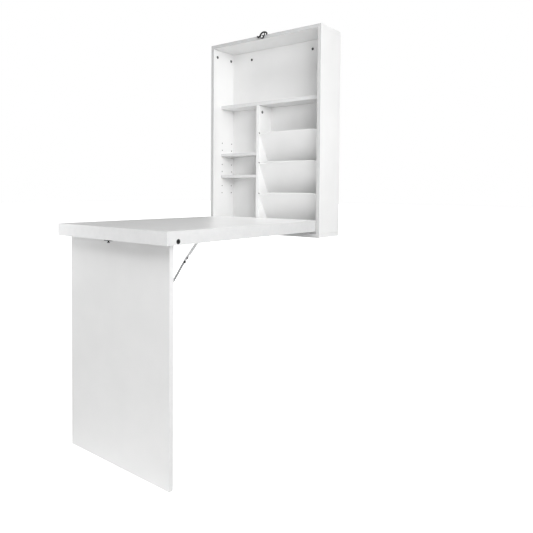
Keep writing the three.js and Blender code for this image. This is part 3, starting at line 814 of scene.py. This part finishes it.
def build_pivots():
    """Pivot pins and washers at the slab's rear, and the leg's bolts and washers at its front."""
    pivot = joint_point("desk_fold")
    leg = joint_point("leg_fold")
    for label, side in (("left", -1), ("right", 1)):
        low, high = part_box(f"desk_pivot_pin_{label}")
        bm = bmesh.new()
        start = low.x if side > 0 else high.x
        place = aim(Vector((start, pivot.y, pivot.z)), (side, 0, 0))
        radius = (high.z - low.z) / 2
        add_lathe(bm, place, cylinder_profile(radius, 0, high.x - low.x, 0.5 * MM), 40)
        piece = make_object(f"desk_pivot_pin_{label}_bar", bm, [STEEL])
        crease(piece)
        attach(piece, "desk", "steel", f"desk_pivot_pin_{label}")
        for node, centre, inner in (
            (f"desk_washer_{label}", pivot, 4.2 * MM),
            (f"leg_washer_{label}", leg, 3.2 * MM),
        ):
            low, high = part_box(node)
            bm = bmesh.new()
            place = aim(Vector((low.x, centre.y, centre.z)), (1, 0, 0))
            outer = (high.z - low.z) / 2
            add_ring(bm, place, inner, outer, 0, high.x - low.x, 0.25 * MM, 40)
            piece = make_object(node + "_ring", bm, [NYLON])
            crease(piece)
            attach(piece, "desk", "nylon", node)
        build_leg_bolt(label, side, leg)


def build_leg_bolt(label, side, leg):
    """A button-head bolt with a hexagon socket."""
    node = f"leg_bolt_{label}"
    low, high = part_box(node)
    tip = high.x if side > 0 else low.x
    back = low.x if side > 0 else high.x
    radius = (high.z - low.z) / 2
    head = 3.5 * MM
    place = aim(Vector((tip, leg.y, leg.z)), (side, 0, 0))
    bm = bmesh.new()
    add_lathe(
        bm, place,
        [
            (0, -head), (radius - 0.3 * MM, -head), (radius, -head + 0.3 * MM),
            (radius, -1.9 * MM), (radius - 0.25 * MM, -1.45 * MM),
            (radius * 0.86, -0.85 * MM), (radius * 0.7, -0.38 * MM), (radius * 0.52, -0.1 * MM),
            (radius * 0.42, 0), (0, 0),
        ],
        48,
    )
    piece = make_object(node + "_screw", bm, [BLACK])
    socket = bmesh.new()
    add_lathe(socket, place, cylinder_profile(2.7 * MM, -2.2 * MM, MM), 6)
    carve(piece, socket)
    shank = bmesh.new()
    shank.from_mesh(piece.data)
    bar = cylinder_profile(BOLT_SHANK, -abs(tip - back), -head - 0.02 * MM, 0.4 * MM)
    add_lathe(shank, place, bar, 32)
    shank.to_mesh(piece.data)
    shank.free()
    shade_smooth(piece)
    crease(piece, 32)
    attach(piece, "desk", "black_metal", node)


# =====================================================================================
# Latch
# =====================================================================================


def smooth_path(points, steps):
    """Catmull-Rom points through a list of points."""
    ends = [points[0], *points, points[-1]]
    path = []
    for i in range(1, len(ends) - 2):
        a, b, c, d = (Vector(p) for p in ends[i - 1 : i + 3])
        for k in range(steps):
            t = k / steps
            square = (2 * a - 5 * b + 4 * c - d) * t**2
            cube = (3 * b - a - 3 * c + d) * t**3
            path.append(0.5 * (2 * b + (c - a) * t + square + cube))
    path.append(Vector(points[-1]))
    return path


# The latch casting is drawn in X and Z about its pivot, in millimetres, as the CAD has it.
HOOK_ARCH = [
    (-24.5, 4.6), (-20.5, 0.9), (-15.5, 1.6), (-11, 6), (-6, 12.4),
    (2, 16.8), (11, 17.6), (19, 15.4), (24.2, 11.4), (24.2, 7.6),
]
HOOK_LINK = [(10.5, 16.5), (12.2, 7.5), (7.5, -1)]
HOOK_WEB = [(-13, 3.5), (-6, -3), (-1, 7), (-8.5, 10.5)]
HOOK_STROKE = 3.15 * MM
LINK_STROKE = 2 * MM


def add_stroke(bm, points, place, radius, depth):
    """A run of short round bars along a path, which a later remesh fuses."""
    for point in smooth_path(points, 8):
        spot = place @ Matrix.Translation((point.x * MM, point.y * MM, 0))
        add_lathe(bm, spot, cylinder_profile(radius, 0, depth, 0.6 * MM), 20)


def build_hook(pivot):
    """The turning hook: a thumb end, an arch to the open mouth, a link and a hub, as one casting."""
    low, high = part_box("latch_hook")
    depth = high.y - low.y
    facing = Matrix.Translation((pivot.x, high.y, pivot.z)) @ Matrix.Rotation(math.pi / 2, 4, "X")
    bm = bmesh.new()
    add_stroke(bm, HOOK_ARCH, facing, HOOK_STROKE, depth)
    add_stroke(bm, HOOK_LINK, facing, LINK_STROKE, depth)
    add_lathe(bm, facing, cylinder_profile(8 * MM, 0, depth, 0.6 * MM), 48)
    thumb = facing @ Matrix.Translation((-20 * MM, 1.5 * MM, 0))
    add_lathe(bm, thumb, cylinder_profile(4.4 * MM, 0, depth, 0.8 * MM), 24)
    add_outline(bm, [(u * MM, v * MM) for u, v in HOOK_WEB], facing, 0, depth)
    hook = make_object("latch_hook_casting", bm, [BLACK])
    remesh = hook.modifiers.new("fuse", "REMESH")
    remesh.mode = "VOXEL"
    remesh.voxel_size = 0.3 * MM
    ease = hook.modifiers.new("ease", "SMOOTH")
    ease.factor = 0.5
    ease.iterations = 2
    apply_modifiers(hook)
    bore = bmesh.new()
    add_lathe(bore, facing, cylinder_profile(3.08 * MM, -MM, depth + 2 * MM), 40)
    carve(hook, bore)
    use_only(hook, BLACK)
    shade_smooth(hook)
    crease(hook, 50)
    attach(hook, "latch_hook", "black_metal", "latch_hook")


def build_latch_base(pivot):
    """The rosette that the hook turns on, and its screw."""
    low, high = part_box("latch_base")
    place = aim(Vector((pivot.x, high.y, pivot.z)), (0, -1, 0))
    height = high.y - low.y
    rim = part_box("latch_hook")[1].y
    rosette = high.y - rim - 0.3 * MM
    bm = bmesh.new()
    profile = [
        (1.9 * MM, 0), (7 * MM, 0), (7 * MM, rosette - 1.2 * MM), (6.4 * MM, rosette - 0.4 * MM),
        (5.4 * MM, rosette), (3 * MM, rosette), (3 * MM, height - 0.2 * MM), (2.8 * MM, height),
        (1.9 * MM, height), (1.9 * MM, 0),
    ]
    add_lathe(bm, place, profile, 48)
    bmesh.ops.remove_doubles(bm, verts=bm.verts, dist=1e-7)
    base = make_object("latch_base_rosette", bm, [BLACK])
    crease(base, 40)
    attach(base, "cabinet", "black_metal", "latch_base")

    low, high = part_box("latch_screw")
    head = 1.6 * MM
    mesh = screw_mesh((high.z - low.z) / 2, head, 1.8 * MM, high.y - low.y - head, 1.6 * MM)
    spot = aim(Vector((pivot.x, low.y + head, pivot.z)), (0, -1, 0))
    # The screw head's near-white tone is a painted highlight.
    screws("latch_screw_head", "cabinet", "zinc", NICKEL_PAINTED_HIGHLIGHT, mesh, [spot], "latch_screw")


def build_latch():
    """The hook latch at the cabinet's top edge."""
    pivot = joint_point("latch_turn")
    build_hook(pivot)
    build_latch_base(pivot)


def rounded_rectangle(half_x, half_y, corner):
    """A rectangle's outline about its middle, with round corners."""
    outline = []
    for x, y, start in ((1, 1, 0), (-1, 1, 90), (-1, -1, 180), (1, -1, 270)):
        centre = (x * (half_x - corner), y * (half_y - corner))
        outline += arc(centre, corner, start, start + 90, 6)
    return outline


CATCH_SCREW_HEAD = 0.5 * MM  # low enough for the hook to pass over


def build_catch():
    """The keeper under the slab's front edge: a strap, a mushroom stud and two small screws."""
    low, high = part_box("latch_catch")
    centre = (low + high) / 2
    stud_y = low.y + 5.5 * MM
    plate_low = high.z - 2.2 * MM
    bm = bmesh.new()
    outline = rounded_rectangle((high.x - low.x) / 2, (high.y - low.y) / 2, 3.5 * MM)
    place = Matrix.Translation((centre.x, centre.y, plate_low))
    add_outline(bm, outline, place, 0, high.z - plate_low)
    strap = make_object("latch_catch_strap", bm, [BLACK])
    ease_edges(strap, 0.4 * MM, 2, 60)
    apply_modifiers(strap)
    stud = bmesh.new()
    stud.from_mesh(strap.data)
    down = aim(Vector((centre.x, stud_y, plate_low)), (0, 0, -1))
    drop = plate_low - low.z
    neck = drop - 2.2 * MM
    profile = [
        (0, 0.02 * MM), (3.4 * MM, 0.02 * MM), (2.6 * MM, 0.6 * MM), (2.45 * MM, neck),
        (4.6 * MM, neck + 0.1 * MM), (5 * MM, neck + 0.6 * MM), (4.7 * MM, drop - 0.9 * MM),
        (3.7 * MM, drop - 0.3 * MM), (2 * MM, drop), (0, drop),
    ]
    add_lathe(stud, down, profile, 36)
    stud.to_mesh(strap.data)
    stud.free()
    shade_smooth(strap)
    crease(strap, 40)
    attach(strap, "desk", "black_metal", "latch_catch")
    mesh = screw_mesh(3.1 * MM, CATCH_SCREW_HEAD, 1.8 * MM, 0.5 * MM, 1.2 * MM)
    places = [
        aim(Vector((centre.x + side * 12.5 * MM, centre.y, plate_low)), (0, 0, -1)) for side in (-1, 1)
    ]
    screws("latch_catch_screws", "desk", "black_metal", BLACK, mesh, places)


# =====================================================================================
# Folding stays
# =====================================================================================


def along(start, end):
    """Axes in the YZ plane: u runs from start to end, v is across, and height is +X."""
    u = (end - start).normalized()
    x = Vector((1, 0, 0))
    v = x.cross(u)
    turn = Matrix((u, v, x)).transposed().to_4x4()
    return Matrix.Translation(start) @ turn


def eased_plate(name, outline, place, low, high, material, holes):
    """A stamped plate with eased edges and round holes; holes are (u, v, radius)."""
    bm = bmesh.new()
    add_outline(bm, outline, place, low, high)
    plate = make_object(name, bm, [material])
    cutters = bmesh.new()
    for u, v, radius in holes:
        spot = place @ Matrix.Translation((u, v, low - MM))
        add_lathe(cutters, spot, cylinder_profile(radius, 0, high - low + 2 * MM), 28)
    carve(plate, cutters)
    ease_edges(plate, 0.25 * MM, 2, 50)
    apply_modifiers(plate)
    shade_smooth(plate)
    return plate


STAY_TAIL = 16 * MM  # the upper arm runs on past the middle pivot


def build_stays():
    for label, side in (("left", -1), ("right", 1)):
        build_upper_arm(label)
        build_release_knob(label, side)
        build_lower_arm(label)
        build_rivets(label, side)
        build_brackets(label, side)


def upper_arm_line(label):
    """The upper arm's own axes, and the distance between its two pivots."""
    start = joint_point(f"stay_upper_{label}_fold")
    end = middle(f"stay_mid_rivet_{label}")
    length = math.hypot(end.y - start.y, end.z - start.z)
    return along(Vector((0, start.y, start.z)), Vector((0, end.y, end.z))), length


def build_upper_arm(label):
    """A wide stamped bar; its outer edge steps in past the release notch."""
    node = f"stay_upper_arm_{label}"
    low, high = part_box(node)
    place, length = upper_arm_line(label)
    wide, slim = 4.65 * MM, 3.1 * MM
    notch = length - 14 * MM
    tail = length + STAY_TAIL
    outline = arc((0, 0), wide, 90, 270, 14)
    outline += [(length - 4 * MM, -wide), (length + 2 * MM, -slim - 0.6 * MM)]
    outline += arc((tail, 0), slim, -80, 80, 12)
    outline += [
        (notch + 5 * MM, slim), (notch + 3.4 * MM, 1.2 * MM),
        (notch + 1.6 * MM, 1.2 * MM), (notch, wide),
    ]
    holes = [
        (0, 0, RIVET_HOLE), (length, 0, 1.95 * MM),
        (tail, 0, 1.2 * MM), (length * 0.5, 0, 1.6 * MM),
    ]
    plate = eased_plate(node + "_bar", outline, place, low.x, high.x, LIGHT_STEEL, holes)
    crease(plate, 40)
    flat_normals(plate)
    attach(plate, f"stay_upper_{label}", "steel", node)


def build_release_knob(label, side):
    """The small dark knob on the upper arm's tail, pressed to let the stay fold."""
    low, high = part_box(f"stay_upper_arm_{label}")
    line, length = upper_arm_line(label)
    spot = line @ Vector((length + STAY_TAIL - MM, 0, 0))
    face = high.x if side > 0 else low.x
    place = aim(Vector((face, spot.y, spot.z)), (side, 0, 0))
    bm = bmesh.new()
    profile = [
        (0, -2.4 * MM), (1.1 * MM, -2.4 * MM), (1.1 * MM, 0.05 * MM), (3.4 * MM, 0.05 * MM),
        (3.7 * MM, 0.4 * MM), (3.7 * MM, 1.9 * MM), (3.2 * MM, 2.5 * MM), (2 * MM, 2.7 * MM),
        (0, 2.75 * MM),
    ]
    add_lathe(bm, place, profile, 32)
    knob = make_object(f"stay_release_knob_{label}", bm, [BLACK])
    crease(knob, 40)
    attach(knob, f"stay_upper_{label}", "dark_steel")


def build_lower_arm(label):
    node = f"stay_lower_arm_{label}"
    low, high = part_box(node)
    start = joint_point(f"stay_lower_{label}_fold")
    end = middle(f"stay_mid_rivet_{label}")
    place = along(Vector((0, start.y, start.z)), Vector((0, end.y, end.z)))
    length = math.hypot(end.y - start.y, end.z - start.z)
    half = 3.1 * MM
    outline = arc((0, 0), half, 90, 270, 12) + arc((length, 0), half, -90, 90, 12)
    holes = [(0, 0, RIVET_HOLE), (length, 0, RIVET_HOLE)]
    plate = eased_plate(node + "_bar", outline, place, low.x, high.x, GREY_STEEL, holes)
    crease(plate, 40)
    flat_normals(plate)
    attach(plate, f"stay_lower_{label}", "steel", node)


def build_rivets(label, side):
    """Domed rivets at the three pivots of a stay."""
    for node, body, material, slot in (
        (f"stay_desk_rivet_{label}", "desk", STEEL, "steel"),
        (f"stay_leg_rivet_{label}", "leg", STEEL, "steel"),
        (f"stay_mid_rivet_{label}", f"stay_upper_{label}", DARK_ZINC, "dark_steel"),
    ):
        low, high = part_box(node)
        centre = (low + high) / 2
        radius = (high.z - low.z) / 2
        outward = side if "leg" not in node else -side
        head_x = high.x if outward > 0 else low.x
        length = high.x - low.x
        height = 1.1 * MM if "mid" not in node else 1.7 * MM
        shank = 1.98 * MM if "mid" not in node else 1.85 * MM
        place = aim(Vector((head_x, centre.y, centre.z)), (outward, 0, 0))
        bm = bmesh.new()
        add_lathe(
            bm, place,
            [
                (0, -length), (shank, -length), (shank, -height), (radius * 0.96, -height),
                (radius, -height * 0.8), (radius * 0.92, -height * 0.45), (radius * 0.72, -height * 0.16),
                (radius * 0.4, -height * 0.03), (0, 0),
            ],
            36,
        )
        piece = make_object(node + "_head", bm, [material])
        crease(piece, 40)
        attach(piece, body, slot, node)


def build_brackets(label, side):
    """The stays' brackets keep their CAD shape with eased edges, and get their screws."""
    for node, normal, body in (
        (f"stay_desk_bracket_{label}", Vector((0, 0, -1)), "desk"),
        (f"stay_leg_bracket_{label}", Vector((0, 1, 0)), "leg"),
    ):
        finish_cad_node(node, STEEL, 0.25 * MM)
        low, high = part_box(node)
        mesh = screw_mesh(3.2 * MM, 1.5 * MM, 2 * MM, 1.7 * MM, 1.5 * MM)
        places = []
        for offset in (-7 * MM, 7 * MM):
            if body == "desk":
                x = (high.x if side > 0 else low.x) - side * 7 * MM
                point = Vector((x, (low.y + high.y) / 2 + offset, high.z - 1.5 * MM))
            else:
                x = (low.x if side > 0 else high.x) + side * 7 * MM
                point = Vector((x, low.y + 1.5 * MM, (low.z + high.z) / 2 + offset))
            places.append(aim(point, normal))
        screws(node + "_screws", body, "zinc", BRIGHT, mesh, places)


# =====================================================================================
# Stage, light and camera
# =====================================================================================


def floor_plane(name, depth, glow):
    """A large pale plane just under the leg's foot."""
    material, tree, shader = new_material(name + "_paint", roughness=0.65)
    cloud = noise(tree, 1.5, 2)
    tint(tree, shader, cloud, (FLOOR_ALBEDO - 0.01,) * 3, (FLOOR_ALBEDO + 0.01,) * 3)
    shader.inputs["Emission Color"].default_value = (1, 1, 1, 1)
    shader.inputs["Emission Strength"].default_value = glow
    bm = bmesh.new()
    bmesh.ops.create_grid(bm, x_segments=8, y_segments=8, size=FLOOR_REACH)
    floor = make_object(name, bm, [material])
    floor.location = (0, 0, FLOOR_Z - depth)
    return floor


def build_floor():
    """The floor that is seen glows a little, so it is white; a second one returns the light."""
    seen = floor_plane("floor", 0.2 * MM, FLOOR_GLOW)
    seen.visible_diffuse = False
    seen.visible_glossy = False
    seen.visible_shadow = False
    bounce = floor_plane("floor_bounce", 0.4 * MM, 0)
    bounce.visible_camera = False


def soft_sun(name, azimuth, elevation, strength):
    """A large far light; azimuth runs from straight in front of the desk to its right."""
    light = bpy.data.lights.new(name, "SUN")
    light.angle = math.radians(LIGHT_SPREAD)
    light.energy = math.pi * strength
    across, up = math.radians(azimuth), math.radians(elevation)
    level = math.cos(up)
    towards = Vector((math.sin(across) * level, -math.cos(across) * level, math.sin(up)))
    lamp = bpy.data.objects.new(name, light)
    lamp.rotation_mode = "QUATERNION"
    lamp.rotation_quaternion = towards.to_track_quat("Z", "Y")
    bpy.context.scene.collection.objects.link(lamp)


def soft_panel(name, place, target, width, power):
    """A square light panel near the desk, which the camera doesn't see."""
    light = bpy.data.lights.new(name, "AREA")
    light.shape = "SQUARE"
    light.size = width
    light.energy = power
    lamp = bpy.data.objects.new(name, light)
    lamp.location = place
    lamp.rotation_mode = "QUATERNION"
    lamp.rotation_quaternion = (Vector(place) - Vector(target)).to_track_quat("Z", "Y")
    lamp.visible_camera = False
    bpy.context.scene.collection.objects.link(lamp)


def background(tree, strength):
    node = tree.nodes.new("ShaderNodeBackground")
    node.inputs["Color"].default_value = (1, 1, 1, 1)
    node.inputs["Strength"].default_value = strength
    return node


def gloss_gradient(tree):
    """How bright the surround is for a reflection: dim behind on the left, bright in front."""
    where = tree.nodes.new("ShaderNodeTexCoord")
    facing = tree.nodes.new("ShaderNodeVectorMath")
    facing.operation = "DOT_PRODUCT"
    facing.inputs[1].default_value = GLOSS_TOWARDS
    tree.links.new(where.outputs["Generated"], facing.inputs[0])
    spread = tree.nodes.new("ShaderNodeMapRange")
    spread.inputs["From Min"].default_value = -1
    spread.inputs["From Max"].default_value = 1
    spread.inputs["To Min"].default_value = GLOSS_RANGE[0]
    spread.inputs["To Max"].default_value = GLOSS_RANGE[1]
    tree.links.new(facing.outputs["Value"], spread.inputs["Value"])
    return spread.outputs["Result"]


def build_light():
    """Soft studio lights in a white surround; the surround lights the boards only a little."""
    for sun in SUNS:
        soft_sun(*sun)
    for panel in PANELS:
        soft_panel(*panel)
    world = bpy.data.worlds.new("studio")
    world.use_nodes = True
    tree = world.node_tree
    tree.nodes.remove(tree.nodes["Background"])
    path = tree.nodes.new("ShaderNodeLightPath")
    reflected = background(tree, 1)
    tree.links.new(gloss_gradient(tree), reflected.inputs["Strength"])
    source = background(tree, SURROUND_FILL)
    for ray, seen in (("Is Glossy Ray", reflected), ("Is Camera Ray", background(tree, 1))):
        mix = tree.nodes.new("ShaderNodeMixShader")
        tree.links.new(path.outputs[ray], mix.inputs["Fac"])
        tree.links.new(source.outputs[0], mix.inputs[1])
        tree.links.new(seen.outputs[0], mix.inputs[2])
        source = mix
    tree.links.new(source.outputs[0], tree.nodes["World Output"].inputs["Surface"])
    bpy.context.scene.world = world


def build_camera():
    forward = Vector((
        -math.sin(CAMERA_YAW) * math.cos(CAMERA_PITCH),
        math.cos(CAMERA_YAW) * math.cos(CAMERA_PITCH),
        math.sin(CAMERA_PITCH),
    ))
    level_right = Vector((math.cos(CAMERA_YAW), math.sin(CAMERA_YAW), 0))
    level_up = level_right.cross(forward)
    right = level_right * math.cos(CAMERA_ROLL) + level_up * math.sin(CAMERA_ROLL)
    up = level_up * math.cos(CAMERA_ROLL) - level_right * math.sin(CAMERA_ROLL)
    data = bpy.data.cameras.new("camera")
    data.lens = CAMERA_LENS
    data.sensor_width = 36
    data.shift_x, data.shift_y = CAMERA_SHIFT
    data.clip_start = 0.05
    data.clip_end = 200
    camera = bpy.data.objects.new("camera", data)
    turn = Matrix((right, up, -forward)).transposed().to_4x4()
    camera.matrix_world = Matrix.Translation(CAMERA_POINT) @ turn
    bpy.context.scene.collection.objects.link(camera)
    bpy.context.scene.camera = camera


build_camera()
build_light()
build_floor()
bpy.context.scene.view_settings.view_transform = "Standard"
build_cabinet()
build_pockets()
build_desk_slab()
build_leg()
build_cams()
build_wall_screws()
build_shelf_pins()
build_pivots()
build_latch()
build_catch()
build_stays()
